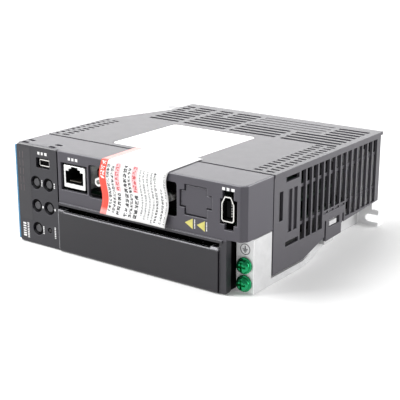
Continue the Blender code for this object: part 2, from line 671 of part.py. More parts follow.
def terminal_cover():
    """Door over the terminals; its pins turn in the walls of the bay."""
    profile = (
        [(-1.0, COVER_TOP)] + arc((0.3, 1.3), 1.3, 180.0, 270.0, 4)
        + arc((HINGE_Y, HINGE_Z), HINGE_RADIUS, 270.0, 300.0, 3)
        + arc((HINGE_Y, HINGE_Z), HINGE_RADIUS - WALL, 300.0, 270.0, 3)
        + [(WALL - 1.0, WALL), (WALL - 1.0, COVER_TOP)]
    )
    door = prism("terminal_cover", [profile], "X", COVER_LEFT, COVER_RIGHT)
    piece = part("terminal_cover", door, finish("cover_plastic", COVER_GREY, 0.45),
                 origin=((COVER_LEFT + COVER_RIGHT) / 2, HINGE_Y, HINGE_Z))
    cheeks = [(COVER_LEFT + 0.2, COVER_LEFT + 1.8), (COVER_RIGHT - 1.8, COVER_RIGHT - 0.2)]
    cheek_radius = HINGE_RADIUS - 0.6
    for index, (left, right) in enumerate(cheeks):
        join(piece, prism(f"cheek_{index}", [
            arc((HINGE_Y, HINGE_Z), cheek_radius, 180.0, 360.0, 12)
            + [(HINGE_Y + cheek_radius, 7.0), (0.2, 19.0), (HINGE_Y - cheek_radius, 19.0)]
        ], "X", left, right))
    for index, (left, right) in enumerate([(-46.9, COVER_LEFT + 0.8), (COVER_RIGHT - 0.8, 63.9)]):
        join(piece, rods(f"pin_{index}", "X", left, right, [(HINGE_Y, HINGE_Z)], PIN_RADIUS, 12))
    join(piece, boxes("finger_lips", [
        ((COVER_LEFT + 0.1, -0.9, COVER_TOP - 2.0), (COVER_LEFT + 4.4, 3.0, COVER_TOP + 0.8)),
        ((COVER_RIGHT - 4.4, -0.9, COVER_TOP - 2.0), (COVER_RIGHT - 0.1, 3.0, COVER_TOP + 0.8)),
    ]))


def ground_screws():
    """Green pan-head screws of the protective earth terminals."""
    green = finish("green_plating", (0.02, 0.42, 0.18), 0.3, 0.8)
    for name, z in GROUND_SCREW_Z.items():
        head_back = ARM_FRONT - GAP
        mesh = turned(f"ground_screw_{name}", [
            (0.0, 4.3), (1.9, 4.5), (3.1, 5.1), (3.7, 6.0), (3.7, 6.9), (4.3, 7.0), (4.3, head_back),
            (2.0, head_back + 0.01), (2.0, 16.0), (0.0, 16.1),
        ], "Y", (GROUND_SCREW_X, z), 24)
        piece = part(f"ground_screw_{name}", mesh, green, smooth=True)
        x = GROUND_SCREW_X
        cut(piece, boxes(f"slot_{name}", [((x - 2.5, 3.5, z - 0.55), (x + 2.5, 6.1, z + 0.55))]))
        cut(piece, boxes(f"cross_{name}", [((x - 0.55, 3.5, z - 2.5), (x + 0.55, 6.1, z + 2.5))]))


# ---------------------------------------------------------------- inside

def boards():
    control = boxes("control_board", [
        ((-44.4, 6.4, CONTROL_BOARD_Z), (73.0, 95.0, CONTROL_BOARD_Z + BOARD_THICKNESS))])
    part("control_board", control, finish("control_laminate", BOARD_GREEN, 0.5))
    chip_low = CONTROL_BOARD_Z + BOARD_THICKNESS + GAP
    chip = boxes("processor_chip", [((8.0, 48.0, chip_low), (28.0, 68.0, chip_low + 1.6))])
    part("processor_chip", chip, finish("chip_epoxy", BLACK, 0.4))
    power = boxes("power_board", [
        ((-58.0, SEAM_Y, POWER_BOARD_Z), (58.0, 138.0, POWER_BOARD_Z + BOARD_THICKNESS))])
    piece = part("power_board", power, finish("power_laminate", BOARD_GREEN, 0.5))
    cut(piece, rods("board_holes", "Z", POWER_BOARD_Z - 1, POWER_BOARD_Z + 3, BOSS_PLACES, 1.8, 12))
    screw_finish = finish("screw_zinc", SILVER, 0.35, 1.0)
    seat = POWER_BOARD_Z + BOARD_THICKNESS + GAP
    for index, place in enumerate(BOSS_PLACES):
        mesh = turned(f"board_screw_{index + 1}", [
            (0.0, seat + 2.0), (1.9, seat + 1.8), (2.8, seat + 1.0), (2.8, seat), (1.4, seat - 0.01),
            (1.4, 8.0), (0.0, 7.9),
        ], "Z", place, 16)
        part(f"board_screw_{index + 1}", mesh, screw_finish, smooth=True)
    module = boxes("power_module", [((-24.0, 58.0, BASE_TOP + GAP), (24.0, 90.0, POWER_BOARD_Z - GAP))])
    part("power_module", module, finish("module_epoxy", BLACK, 0.5))


def power_components():
    seat = POWER_BOARD_Z + BOARD_THICKNESS + GAP
    sleeve = finish("capacitor_sleeve", (0.03, 0.04, 0.07), 0.35)
    for index, x in enumerate(CAPACITOR_X):
        top = 51.0
        mesh = turned(f"dc_link_capacitor_{index + 1}", [
            (0.0, top), (CAPACITOR_RADIUS - 1.0, top), (CAPACITOR_RADIUS, top - 1.0),
            (CAPACITOR_RADIUS, seat + 0.01), (0.0, seat),
        ], "Z", (x, CAPACITOR_Y), 28)
        part(f"dc_link_capacitor_{index + 1}", mesh, sleeve, smooth=True)
    core = boxes("flyback_transformer", [((43.0, 103.0, seat), (56.0, 127.0, 40.0))])
    piece = part("flyback_transformer", core, finish("ferrite", (0.05, 0.05, 0.05), 0.6))
    join(piece, boxes("winding", [((40.6, 106.0, seat + 4.0), (57.6, 124.0, 36.0))]))
    relay = boxes("inrush_relay", [((-57.0, 96.0, seat), (-43.5, 124.0, 31.5))])
    soften(part("inrush_relay", relay, finish("relay_blue", (0.03, 0.08, 0.30), 0.4)), 0.6, 1)


def fan():
    """Exhaust fan behind the vents of the drive's top end."""
    half = FAN_SIZE / 2
    centre = (FAN_Y, FAN_Z)
    right = FAN_LEFT + FAN_DEPTH
    frame = prism("fan_frame", [
        rounded((FAN_Y - half, FAN_Z - half), (FAN_Y + half, FAN_Z + half), 2.0, 2),
        circle(centre, FAN_DUCT_RADIUS, 32),
    ], "X", FAN_LEFT, right)
    piece = part("fan_frame", frame, finish("fan_plastic", BLACK, 0.5))
    join(piece, boxes("fan_struts", [
        ((FAN_LEFT, FAN_Y - half + 0.7, FAN_Z - 1.0), (FAN_LEFT + 1.2, FAN_Y + half - 0.7, FAN_Z + 1.0))]))
    join(piece, boxes("fan_strut_bar", [
        ((FAN_LEFT, FAN_Y - 1.0, FAN_Z - half + 0.7), (FAN_LEFT + 1.2, FAN_Y + 1.0, FAN_Z + half - 0.7))]))
    join(piece, rods("fan_motor_plate", "X", FAN_LEFT, FAN_LEFT + 1.2, [centre], FAN_HUB_RADIUS, 20))
    hub_left = FAN_LEFT + 1.2 + GAP
    hub = rods("fan_rotor", "X", hub_left, right - 0.6, [centre], FAN_HUB_RADIUS, 28)
    rotor = part("fan_rotor", hub, finish("rotor_plastic", BLACK, 0.5),
                 origin=((hub_left + right) / 2, FAN_Y, FAN_Z))
    bm = bmesh.new()
    reach = FAN_BLADE_RADIUS - FAN_HUB_RADIUS + 1.5
    blade_middle = spot((hub_left + right - 0.6) / 2, FAN_Y, FAN_Z)
    for index in range(FAN_BLADES):
        turn = Matrix.Rotation(math.tau * index / FAN_BLADES, 4, "X")
        out = Matrix.Translation(Vector((0.0, 0.0, FAN_BLADE_RADIUS - 0.4 - reach / 2)) * MM)
        pitch = Matrix.Rotation(math.radians(38.0), 4, "Z")
        size = Matrix.Diagonal((1.0 * MM, 7.0 * MM, reach * MM, 1.0))
        bmesh.ops.create_cube(
            bm, size=1.0, matrix=Matrix.Translation(blade_middle) @ turn @ out @ pitch @ size)
    join(rotor, mesh_from(bm, "fan_blades"))


# ---------------------------------------------------------------- labels

def nameplate():
    plate = prism("nameplate_label", [rounded((-33.1, 31.4), (25.6, 89.6), 3.0)], "Z", 57.2, 57.4)
    part("nameplate_label", plate, finish("label_film", (0.85, 0.85, 0.84), 0.4))


def peel_off_tag():
    """Film stuck to the top near the seam, folded over the front edge and hanging."""
    thickness = 0.25
    line = (
        [(30.5, 57.95), (14.0, 57.95), (1.0, 57.95)]
        + arc((0.6, 56.2), 1.75, 105.0, 178.0, 4)
        + [(-1.5, 52.0), (-2.2, 44.0), (-2.8, 36.0), (-3.3, 28.4)]
    )
    bm = bmesh.new()
    rows = []
    for y, z in line:
        rows.append([bm.verts.new(spot(-14.2, y, z)), bm.verts.new(spot(30.8, y, z))])
    for (left, right), (next_left, next_right) in zip(rows, rows[1:]):
        bm.faces.new((left, right, next_right, next_left))
    bmesh.ops.recalc_face_normals(bm, faces=bm.faces)
    piece = part("peel_off_tag", mesh_from(bm, "peel_off_tag"), finish("tag_film", (0.9, 0.9, 0.88), 0.4))
    solid = piece.modifiers.new("film", "SOLIDIFY")
    solid.thickness = thickness * MM
    solid.offset = 0.0


heat_sink()
rear_housing()
front_case()
control_panel()
usb_socket()
rj45_socket()
dsub_socket()
encoder_socket()
knockout_cover()
terminal_blocks()
terminal_cover()
ground_screws()
boards()
power_components()
fan()
nameplate()
peel_off_tag()
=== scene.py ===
"""Looks of the servo drive: materials, fine pieces, studio and camera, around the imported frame.

Lengths here are in millimetres on the drive's own grid: x from the middle of the body,
y from the front panel's plane towards the back, z from the surface that it lies on.
"""
import math
import random

import bmesh
import bpy
from mathutils import Matrix, Vector


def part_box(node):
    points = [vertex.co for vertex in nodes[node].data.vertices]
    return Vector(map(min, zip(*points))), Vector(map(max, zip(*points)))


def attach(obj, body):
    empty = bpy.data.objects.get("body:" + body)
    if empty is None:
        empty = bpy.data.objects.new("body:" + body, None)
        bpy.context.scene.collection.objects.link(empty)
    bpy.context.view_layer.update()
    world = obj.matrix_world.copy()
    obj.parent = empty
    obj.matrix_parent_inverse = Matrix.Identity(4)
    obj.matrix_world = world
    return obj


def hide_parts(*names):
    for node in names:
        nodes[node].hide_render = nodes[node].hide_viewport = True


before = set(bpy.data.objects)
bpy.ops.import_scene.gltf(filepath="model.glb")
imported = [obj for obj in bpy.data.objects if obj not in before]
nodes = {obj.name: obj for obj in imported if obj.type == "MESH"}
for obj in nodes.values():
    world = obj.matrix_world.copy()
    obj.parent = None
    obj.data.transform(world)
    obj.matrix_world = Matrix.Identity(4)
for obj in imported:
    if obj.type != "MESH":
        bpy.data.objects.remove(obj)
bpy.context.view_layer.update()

MM = 0.001
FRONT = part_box("control_panel")[0].y        # plane of the front panel
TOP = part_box("front_case")[1].z / MM        # upper face of the body
CHASSIS = "chassis"
KEYS = ("mode", "shift", "up", "down", "set")
FILM = 0.04                                 # thickness of a printed mark
POLE_PITCH = 8.0                            # of the terminal blocks
POST_HEIGHT = 44.0                          # axis of the D-sub's jack posts

# Zones of the body where its materials paint shade and light
INNER_HALF = 75.3                           # half width between the side walls
INNER_TOP = 55.4                            # underside of the lid
INNER_LOW = 0.3                             # just above the resting plane
BAY_TOP = 28.6                              # upper end of the terminal bay
FRONT_WALL = 1.95                           # back of the front wall
BAY_FRONT = 4.35                            # where the painted shade in the terminal bay starts
BAY_SHADE_TOP = 28.0                            # upper end of the painted shade on the case's lower part
CASE_LEFT = -46.0                           # joint of the panel and the case
FLANGE_FRONT = 1.5                          # where a key's flange, painted black as shade, starts
ARM_FRONT = 8.7                             # just behind the grounding arm's front face; in front of it the metal is painted lighter
SINK_FRONT = 27.0                           # front of the heat sink's part painted dark as shade
SINK_BACK = 142.0                           # back of its painted-shade part
SINK_LOW = 20.0                             # above this its painted shade runs right across the body
SINK_CORE = 60.0                            # half width of its painted-shade part below that
LUG_FRONT = 140.0                           # front of the back plate with its lugs; behind it the metal is painted lighter

PAINTED_SHADE = (0.003, 0.003, 0.003)              # painted shade: colour given to plastic that little light reaches
EDGE_HIGHLIGHT = (0.75, 0.75, 0.79)                   # painted highlight: colour of the rounded plastic edges that face up and left

# Camera: where it stands, what it looks at and its lens
CAMERA_PLACE = (325.4, -376.7, 187.9)
CAMERA_TARGET = (14.53, 50.0, 27.76)
CAMERA_LENS = 89.39
SENSOR = 36.0


def spot(x, y, z):
    """World position, in metres, of a point of the drive's grid."""
    return Vector((x * MM, FRONT + y * MM, z * MM))


def grid_box(node):
    """Lowest and highest corner of a CAD node on the drive's grid."""
    return [(p.x / MM, (p.y - FRONT) / MM, p.z / MM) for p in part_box(node)]


# ---------------------------------------------------------------- materials

class Surface:
    """A node material under construction, with short ways to add and link nodes."""

    def __init__(self, name):
        self.material = bpy.data.materials.new(name)
        self.material.use_nodes = True
        self.tree = self.material.node_tree
        self.shader = self.tree.nodes["Principled BSDF"]

    def add(self, kind, **settings):
        """New node with the given properties."""
        node = self.tree.nodes.new(kind)
        for key, value in settings.items():
            setattr(node, key, value)
        return node

    def plug(self, socket, value):
        """Links an output to an input, or sets the input to a value."""
        if isinstance(value, bpy.types.NodeSocket):
            self.tree.links.new(value, socket)
        else:
            socket.default_value = value

    def math(self, operation, first, second=0.0, third=0.0):
        """Output of a math node."""
        node = self.add("ShaderNodeMath", operation=operation)
        for socket, value in zip(node.inputs, (first, second, third)):
            self.plug(socket, value)
        return node.outputs[0]

    def product(self, first, *others):
        """Masks and strengths multiplied with each other."""
        for other in others:
            first = self.math("MULTIPLY", first, other)
        return first

    def coordinates(self, output="Object"):
        """Texture coordinates, in metres for Object."""
        return self.add("ShaderNodeTexCoord").outputs[output]

    def axes(self, output="Object"):
        """The three numbers of the texture coordinates."""
        split = self.add("ShaderNodeSeparateXYZ")
        self.plug(split.inputs[0], self.coordinates(output))
        return split.outputs

    def noise(self, size, detail=2.0, roughness=0.5, stretch=None):
        """Noise whose features are about size millimetres across."""
        vector = self.coordinates()
        if stretch:
            mapping = self.add("ShaderNodeMapping")
            mapping.inputs["Scale"].default_value = stretch
            self.plug(mapping.inputs["Vector"], vector)
            vector = mapping.outputs[0]
        node = self.add("ShaderNodeTexNoise")
        self.plug(node.inputs["Vector"], vector)
        node.inputs["Scale"].default_value = 1.0 / (size * MM)
        node.inputs["Detail"].default_value = detail
        node.inputs["Roughness"].default_value = roughness
        return node.outputs["Fac"]

    def ramp(self, factor, stops):
        """Colour ramp; stops are (position, colour) with colours of three numbers."""
        node = self.add("ShaderNodeValToRGB")
        while len(node.color_ramp.elements) < len(stops):
            node.color_ramp.elements.new(0.5)
        for element, (position, colour) in zip(node.color_ramp.elements, stops):
            element.position = position
            element.color = (*colour, 1.0)
        self.plug(node.inputs["Fac"], factor)
        return node.outputs["Color"]

    def inside(self):
        """1 on what lies behind the body's outer walls, 0 on the outside: the mask of the painted shade
        inside the body.
        """
        x, y, z = self.axes()
        wall = self.math("MULTIPLY_ADD", self.math("LESS_THAN", z, BAY_TOP * MM),
                         (BAY_FRONT - FRONT_WALL) * MM, FRONT + FRONT_WALL * MM)
        return self.product(
            self.math("GREATER_THAN", y, wall),
            self.math("LESS_THAN", self.math("ABSOLUTE", x), INNER_HALF * MM),
            self.math("LESS_THAN", z, INNER_TOP * MM),
            self.math("GREATER_THAN", z, INNER_LOW * MM))

    def edges(self, radius):
        """Mask of painted highlights: 1 on rounded edges that face upwards, half on upright ones that
        face left.
        """
        rounded = self.add("ShaderNodeBevel", samples=6)
        rounded.inputs["Radius"].default_value = radius * MM
        split = self.add("ShaderNodeSeparateXYZ")
        self.plug(split.inputs[0], rounded.outputs["Normal"])
        slope = split.outputs[2]
        up = self.product(self.scale(slope, 0.0, 1.0, 0.30, 0.55),
                          self.scale(slope, 1.0, 0.0, 0.82, 0.96))
        facing = self.add("ShaderNodeVectorMath", operation="DOT_PRODUCT")
        self.plug(facing.inputs[0], rounded.outputs["Normal"])
        facing.inputs[1].default_value = (-0.62, -0.78, 0.0)
        return self.math("MAXIMUM", up, self.scale(facing.outputs["Value"], 0.0, 0.5, 0.93, 0.985))

    def scale(self, value, low, high, start=0.0, end=1.0):
        """Maps start to end onto low to high and holds it beyond them."""
        node = self.add("ShaderNodeMapRange")
        node.inputs["From Min"].default_value = start
        node.inputs["From Max"].default_value = end
        node.inputs["To Min"].default_value = low
        node.inputs["To Max"].default_value = high
        self.plug(node.inputs["Value"], value)
        return node.outputs["Result"]

    def mix(self, factor, first, second):
        """Colour that goes from the first to the second with the factor."""
        node = self.add("ShaderNodeMix", data_type="RGBA")
        self.plug(node.inputs[0], factor)
        for socket, value in ((node.inputs[6], first), (node.inputs[7], second)):
            if isinstance(value, tuple):
                value = (*value, 1.0)
            self.plug(socket, value)
        return node.outputs[2]

    def bump(self, height, strength, distance):
        """Bump of a height map, distance in millimetres, chained after earlier bumps."""
        node = self.add("ShaderNodeBump")
        node.inputs["Strength"].default_value = strength
        node.inputs["Distance"].default_value = distance * MM
        self.plug(node.inputs["Height"], height)
        normal = self.shader.inputs["Normal"]
        if normal.is_linked:
            self.plug(node.inputs["Normal"], normal.links[0].from_socket)
        self.plug(normal, node.outputs["Normal"])

    def set(self, **inputs):
        """Sets or links the shader's inputs and returns the finished material."""
        for key, value in inputs.items():
            socket = self.shader.inputs[key.replace("_", " ")]
            if isinstance(value, tuple) and len(value) == 3 and len(socket.default_value) == 4:
                value = (*value, 1.0)
            self.plug(socket, value)
        return self.material


def shade(colour, factor):
    """The colour made lighter or darker."""
    return tuple(min(1.0, channel * factor) for channel in colour)


def moulded_plastic(name, colour, roughness, grain=0.12, edge=0.35, highlight_radius=0.8,
                    shaded_inside=False, shaded_bay=False):
    """Spark-eroded moulded plastic with fine grain, faint flow shades and painted highlights on its
    rounded edges that face up and on those that face left.

    One option paints shade, near black, on what lies inside the body; another paints shade on the case
    below the sill, right of the panel.
    """
    s = Surface(name)
    fine = s.noise(grain, detail=1.0)
    tint = s.ramp(s.noise(28.0, detail=3.0), [(0.3, shade(colour, 0.97)), (0.7, shade(colour, 1.03))])
    grain_and_painted_light = s.mix(s.scale(fine, 0.0, 0.25, 0.4, 0.7), tint, shade(colour, 1.35))
    # painted shade: the case below the sill's height, right of the panel, made darker
    if shaded_bay:
        x, _, z = s.axes()
        low = s.product(s.scale(z, 0.75, 0.0, (BAY_SHADE_TOP - 0.1) * MM, (BAY_SHADE_TOP + 0.1) * MM),
                        s.math("GREATER_THAN", x, CASE_LEFT * MM))
        grain_and_painted_light = s.mix(low, grain_and_painted_light, shade(colour, 0.3))
    # painted highlight: the rounded edges that face up and left made pale, with edge as its strength
    grain_and_painted_light = s.mix(s.product(s.edges(highlight_radius), edge), grain_and_painted_light, EDGE_HIGHLIGHT)
    shine = 0.5
    # painted shade: what lies inside the body is made near black, with little reflection
    if shaded_inside:
        grain_and_painted_light = s.mix(s.product(s.inside(), 0.93), grain_and_painted_light, PAINTED_SHADE)
        shine = s.scale(s.inside(), 0.5, 0.05)
    s.bump(fine, 0.3, 0.012)
    rub = s.noise(6.0, detail=4.0, roughness=0.65)
    return s.set(Base_Color=grain_and_painted_light, Roughness=s.scale(rub, roughness - 0.01, roughness + 0.02, 0.3, 0.7),
                 IOR=1.5, Specular_IOR_Level=shine)


def cast_aluminium(name):
    """Pressure-cast, tumbled aluminium: mottling, flow lines and small pits, with painted shade inside
    the body and painted light, near white, on the grounding arm's front and the back plate.
    """
    s = Surface(name)
    mottle = s.noise(5.0, detail=4.0, roughness=0.6)
    flow = s.noise(9.0, detail=3.0, stretch=(0.25, 1.0, 1.6))
    colour = s.ramp(mottle, [(0.25, (0.55, 0.55, 0.555)), (0.75, (0.64, 0.64, 0.645))])
    colour = s.mix(s.scale(flow, 0.0, 0.35, 0.45, 0.75), colour, (0.70, 0.70, 0.705))
    s.bump(s.noise(0.35, detail=2.0), 0.25, 0.02)
    s.bump(s.noise(2.5, detail=3.0), 0.15, 0.05)
    x, y, z = s.axes()
    # painted shade: the sink inside the body made near black, with little reflection
    core = s.math("MAXIMUM", s.math("GREATER_THAN", z, SINK_LOW * MM),
                  s.math("LESS_THAN", s.math("ABSOLUTE", x), SINK_CORE * MM))
    inner_shade = s.product(s.math("GREATER_THAN", y, FRONT + SINK_FRONT * MM), s.inside(),
                       s.math("LESS_THAN", y, FRONT + SINK_BACK * MM), core)
    # painted light: near-white metal on the grounding arm's front and on the back plate
    lit_ends = s.math("MAXIMUM", s.math("LESS_THAN", y, FRONT + ARM_FRONT * MM),
                  s.math("GREATER_THAN", y, FRONT + LUG_FRONT * MM))
    colour = s.mix(s.product(lit_ends, 0.9), colour, (0.97, 0.97, 0.975))
    colour = s.mix(s.product(inner_shade, 0.98), colour, (0.008, 0.008, 0.008))
    return s.set(Base_Color=colour, Metallic=0.2, Roughness=s.scale(mottle, 0.42, 0.55),
                 Specular_IOR_Level=s.scale(inner_shade, 0.5, 0.03))


def plated_metal(name, colour, roughness=0.22):
    """Bright plated sheet metal with fine drawing lines."""
    s = Surface(name)
    lines = s.noise(0.5, detail=3.0, stretch=(1.0, 1.0, 8.0))
    tint = s.ramp(s.noise(3.0, detail=3.0), [(0.3, shade(colour, 0.9)), (0.7, colour)])
    s.bump(lines, 0.12, 0.01)
    return s.set(Base_Color=tint, Metallic=1.0, Roughness=s.scale(lines, roughness, roughness + 0.12))


def smooth_plastic(name, colour, roughness, spread=0.08, shine=0.5):
    """Glossy or satin moulded part with slight shade changes."""
    s = Surface(name)
    tint = s.ramp(s.noise(4.0, detail=3.0), [
        (0.3, shade(colour, 1.0 - spread)), (0.7, shade(colour, 1.0 + spread))])
    s.bump(s.noise(0.5, detail=2.0), 0.06, 0.01)
    return s.set(Base_Color=tint, Roughness=s.scale(s.noise(2.0), roughness - 0.04, roughness + 0.06),
                 Specular_IOR_Level=shine)


def key_cap():
    """Satin grey cap whose flange, deeper in the hole, is painted black as shade."""
    s = Surface("key_satin_painted_shade")
    y = s.axes()[1]
    # painted shade: the flange behind the panel made near black and matte
    deep = s.math("GREATER_THAN", y, FRONT + FLANGE_FRONT * MM)
    tint = s.ramp(s.noise(3.0, detail=3.0), [
        (0.3, (0.050, 0.049, 0.054)), (0.7, (0.064, 0.062, 0.068))])
    s.bump(s.noise(0.3, detail=2.0), 0.2, 0.01)
    return s.set(Base_Color=s.mix(deep, tint, PAINTED_SHADE), Roughness=s.scale(deep, 0.42, 0.8))


def board_laminate():
    """Green solder mask with faint copper tracks, in very dark greens as painted shade, since it lies
    deep inside.
    """
    s = Surface("board_laminate")
    x, y, _ = s.axes()
    lane = s.math("PINGPONG", s.math("ADD", x, y), 1.1 * MM)
    track = s.math("LESS_THAN", lane, 0.4 * MM)
    patch = s.scale(s.noise(9.0, detail=0.0), 0.0, 1.0, 0.48, 0.52)
    mask = s.product(track, patch)
    # painted shade: the greens darkened for the board's place deep inside the body
    colour = s.mix(mask, (0.002, 0.014, 0.006), (0.004, 0.026, 0.011))
    s.bump(mask, 0.3, 0.03)
    return s.set(Base_Color=colour, Roughness=0.3)


def smoked_window():
    """Dark film with a faint haze."""
    s = Surface("smoked_window")
    haze = s.ramp(s.noise(7.0, detail=3.0), [
        (0.3, (0.026, 0.025, 0.030)), (0.7, (0.033, 0.032, 0.037))])
    s.bump(s.noise(3.0), 0.05, 0.01)
    return s.set(Base_Color=haze, Roughness=0.30, IOR=1.49)


def label_film():
    """White polyester label with grey rows that stand for its print."""
    s = Surface("label_film")
    low, high = grid_box("nameplate_label")
    x, y, _ = s.axes()
    along = s.math("DIVIDE", s.math("SUBTRACT", x, low[0] * MM), (high[0] - low[0]) * MM)
    across = s.math("DIVIDE", s.math("SUBTRACT", y, FRONT + low[1] * MM), (high[1] - low[1]) * MM)

    def near_middle(value, reach):
        """1 where the value is within reach of a half."""
        return s.math("LESS_THAN", s.math("ABSOLUTE", s.math("SUBTRACT", value, 0.5)), reach)

    ink = s.product(
        s.math("LESS_THAN", s.math("PINGPONG", across, 0.045), 0.010),
        s.math("GREATER_THAN", s.noise(1.6, detail=1.0, stretch=(1.0, 0.15, 1.0)), 0.55),
        near_middle(along, 0.42), near_middle(across, 0.40),
        s.math("GREATER_THAN", s.noise(14.0, detail=0.0), 0.56))
    paper = s.ramp(s.noise(12.0, detail=2.0), [(0.3, (0.88, 0.88, 0.875)), (0.7, (0.93, 0.93, 0.925))])
    colour = s.mix(s.product(ink, 0.7), paper, (0.30, 0.30, 0.31))
    s.bump(s.noise(0.6), 0.05, 0.01)
    return s.set(Base_Color=colour, Roughness=0.35)


materials = {
    "case": moulded_plastic("case_grain_painted_light", (0.064, 0.060, 0.074), 0.42, shaded_inside=True, shaded_bay=True),
    "housing": moulded_plastic("housing_grain_painted_light", (0.070, 0.066, 0.077), 0.42, edge=0.15, shaded_inside=True),
    "panel": moulded_plastic("panel_grain_painted_light", (0.023, 0.022, 0.028), 0.40, edge=0.12),
    # the cover has a strong, wide painted highlight along its rounded edges
    "cover": moulded_plastic("cover_grain_painted_light", (0.016, 0.015, 0.019), 0.40, grain=0.1, edge=0.9,
                             highlight_radius=1.5),
    "cast": cast_aluminium("cast_aluminium"),
    "black": smooth_plastic("black_moulding", (0.0015, 0.0015, 0.0018), 0.7, shine=0.1),
    "nickel": plated_metal("nickel_plate", (0.82, 0.81, 0.78)),
    "shield": plated_metal("tinned_shield", (0.95, 0.95, 0.94), 0.34),
    "gold": plated_metal("pale_contact", (0.22, 0.20, 0.17), 0.3),
    "green": plated_metal("green_passivate", (0.02, 0.33, 0.13), 0.22),
    "print": smooth_plastic("white_print", (0.90, 0.90, 0.90), 0.5, 0.04),
    # painted shade: dark grey for the raised earth sign, standing in for the shade of its relief
    "ink": smooth_plastic("relief_painted_shade", (0.10, 0.10, 0.11), 0.5, 0.1),
    "faint": smooth_plastic("faint_print", (0.10, 0.075, 0.08), 0.4),
    "blue": smooth_plastic("accent_blue_gloss", (0.09, 0.30, 0.52), 0.25),
    "lens": smooth_plastic("clear_dark_lens", (0.010, 0.008, 0.008), 0.08),
    "yellow": smooth_plastic("yellow_mark", (0.68, 0.62, 0.17), 0.45),
    "relay": smooth_plastic("relay_blue", (0.01, 0.03, 0.10), 0.35, shine=0.1),
    "ferrite": smooth_plastic("ferrite_grey", (0.015, 0.015, 0.016), 0.6, shine=0.1),
    "sleeve": smooth_plastic("capacitor_sleeve", (0.008, 0.009, 0.014), 0.25, shine=0.1),
    "board": board_laminate(),
    "window": smoked_window(),
    "label": label_film(),
    "key": key_cap(),
}

FINISHES = {
    "case": ["front_case", "knockout_cover"],
    "housing": ["rear_housing"],
    "panel": ["control_panel"],
    "cover": ["terminal_cover"],
    "cast": ["heat_sink"],
    "black": ["input_terminal_block", "brake_terminal_block", "motor_terminal_block", "dsub_socket",
              "display_module", "fan_frame", "fan_rotor", "processor_chip", "power_module"]
             + [f"{key}_switch" for key in KEYS],
    "nickel": ["dsub_post_left", "dsub_post_right", "usb_socket", "encoder_socket"]
              + [f"board_screw_{index}" for index in range(1, 5)],
    "shield": ["rj45_socket"],
    "green": ["ground_screw_upper", "ground_screw_lower"],
    "blue": ["accent_strip"],
    "lens": ["charge_led"],
    "relay": ["inrush_relay"],
    "ferrite": ["flyback_transformer"],
    "sleeve": [f"dc_link_capacitor_{index}" for index in range(1, 4)],
    "board": ["control_board", "power_board", "keypad_board"],
    "window": ["display_window"],
    "label": ["nameplate_label"],
}

FLAT_ANGLE = 0.5                            # faces closer to flat than this are joined
EDGE_ANGLE = 30.0                           # edges sharper than this are rounded

# Width of the rounded edges, for the nodes that show them
EDGES = {"terminal_cover": 0.5, "control_panel": 0.3, "knockout_cover": 0.3, "heat_sink": 0.35,
         "accent_strip": 0.1, "front_case": 0.4, "rear_housing": 0.25, "rj45_socket": 0.25,
         "encoder_socket": 0.15, "ground_screw_upper": 0.2, "ground_screw_lower": 0.2}


def dress_node(node, material, edge):
    """Gives a CAD node its material and, where edge is not 0, softly rounded edges."""
    made = nodes[node]
    for slot in made.material_slots:
        slot.material = material
    if edge:
        weld = made.modifiers.new("weld", "WELD")
        weld.merge_threshold = 0.01 * MM
        flat = made.modifiers.new("flat", "DECIMATE")
        flat.decimate_type = "DISSOLVE"
        flat.angle_limit = math.radians(FLAT_ANGLE)
        bevel = made.modifiers.new("edges", "BEVEL")
        bevel.width = edge * MM
        bevel.segments = 2
        bevel.limit_method = "ANGLE"
        bevel.angle_limit = math.radians(EDGE_ANGLE)


for finish, names in FINISHES.items():
    for node in names:
        dress_node(node, materials[finish], EDGES.get(node, 0.0))


# ---------------------------------------------------------------- piece helpers

def piece(name, bm, material, body=CHASSIS, replaces=(), smooth=False):
    """A finished mesh object that rides on a body."""
    mesh = bpy.data.meshes.new(name)
    bmesh.ops.recalc_face_normals(bm, faces=bm.faces)
    bm.to_mesh(mesh)
    bm.free()
    if smooth:
        mesh.shade_smooth()
        mesh.set_sharp_from_angle(angle=math.radians(35))
    made = bpy.data.objects.new(name, mesh)
    bpy.context.scene.collection.objects.link(made)
    mesh.materials.append(material)
    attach(made, body)
    if replaces:
        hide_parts(*replaces)
    return made


def add_box(bm, low, high):
    """Box between two corners on the grid."""
    middle = spot(*[(a + b) / 2 for a, b in zip(low, high)])
    size = [(b - a) * MM for a, b in zip(low, high)]
    matrix = Matrix.Translation(middle) @ Matrix.Diagonal((*size, 1.0))
    bmesh.ops.create_cube(bm, size=1.0, matrix=matrix)


def add_lathe(bm, profile, x, z):
    """Solid of revolution about an axis along Y; profile holds (radius, y) points."""
    sides = 32
    rings = []
    for radius, y in profile:
        if radius == 0.0:
            rings.append([bm.verts.new(spot(x, y, z))])
            continue
        ring = []
        for side in range(sides):
            angle = math.tau * side / sides
            ring.append(bm.verts.new(spot(
                x + radius * math.cos(angle), y, z + radius * math.sin(angle))))
        rings.append(ring)
    for first, second in zip(rings, rings[1:]):
        for side in range(sides):
            after = (side + 1) % sides
            if len(first) == 1:
                bm.faces.new((first[0], second[side], second[after]))
            elif len(second) == 1:
                bm.faces.new((first[side], second[0], first[after]))
            else:
                bm.faces.new((first[side], second[side], second[after], first[after]))


# ---------------------------------------------------------------- camera and studio

DIM = 0.35                                  # strength of the surroundings
GLOW = 0.16                                 # strength of the floor's own light
SHEET = 12.0                                # half width of the floor, in metres


